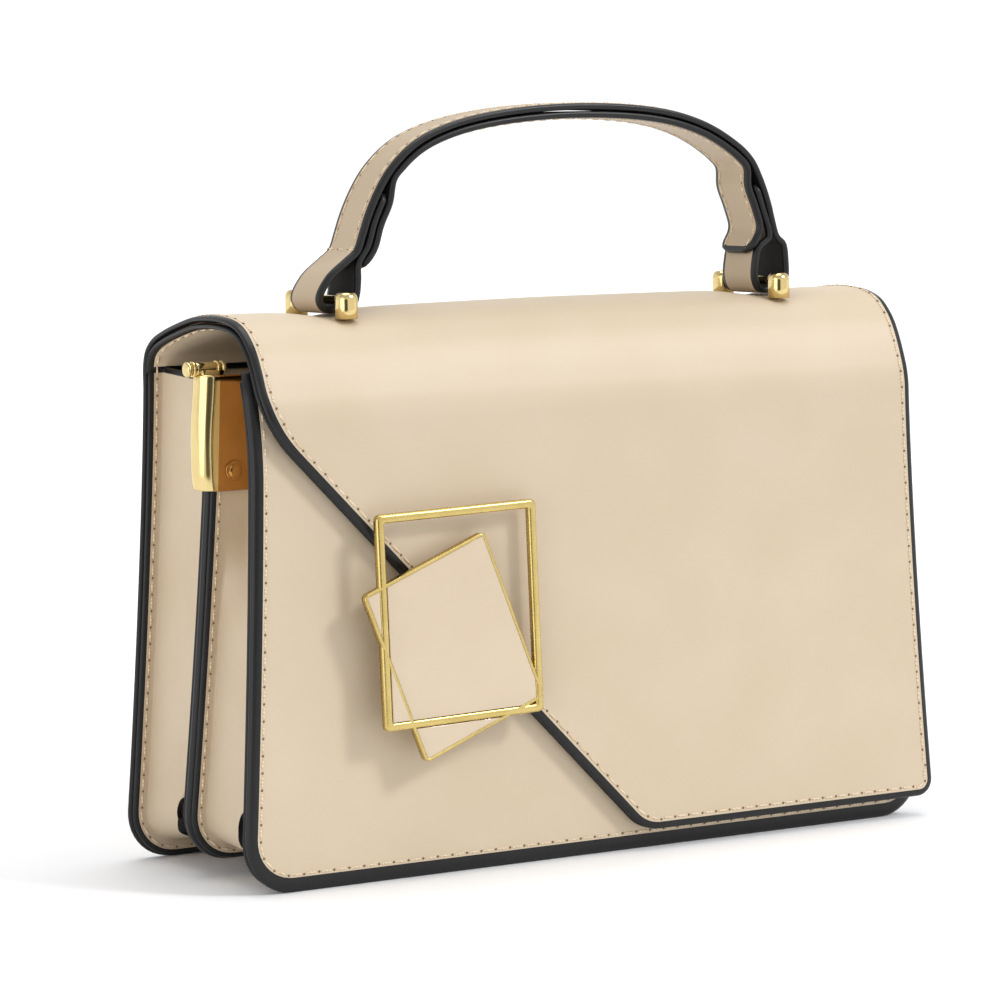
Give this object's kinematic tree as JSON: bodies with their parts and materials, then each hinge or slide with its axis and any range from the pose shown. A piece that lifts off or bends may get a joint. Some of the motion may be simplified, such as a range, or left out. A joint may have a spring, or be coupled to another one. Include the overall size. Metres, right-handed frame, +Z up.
{
  "type": "handbag",
  "caption": "Structured leather top-handle bag with a slanted flap, two compartments, a looped strap handle, crossed-frame clasp and metal side clips.",
  "frame": {"origin": "bottom centre of the bag's bounding box, on the surface that it stands on", "axes": "+X to the right seen from the front, +Y towards the back, +Z up"},
  "size_m": [0.2248, 0.0811, 0.2043],
  "materials": {
    "leather": "smooth calfskin, satin, with black painted edges",
    "leather_inside": "smooth lining leather, matt, with black painted edges",
    "gold": "polished pale gold plating",
    "enamel": "glossy cream enamel"
  },
  "bodies": {
    "root": {"back_and_flap": "leather", "flap_lining": "leather_inside", "front_panel": "leather", "divider": "leather", "rear_gusset": "leather", "front_gusset": "leather", "handle_strap": "leather", "handle_lining": "leather_inside", "clasp_frames": "gold", "enamel_field_corner": "enamel", "enamel_field_left": "enamel", "enamel_field_main": "enamel", "enamel_field_bottom": "enamel", "clasp_post": "gold", "clasp_catch": "gold", "handle_mount_left": "gold", "handle_mount_right": "gold", "side_clip_left": "gold", "side_clip_right": "gold", "side_bar_left": "gold", "side_bar_right": "gold", "side_rivet_left": "gold", "side_rivet_right": "gold"}
  },
  "joints": []
}
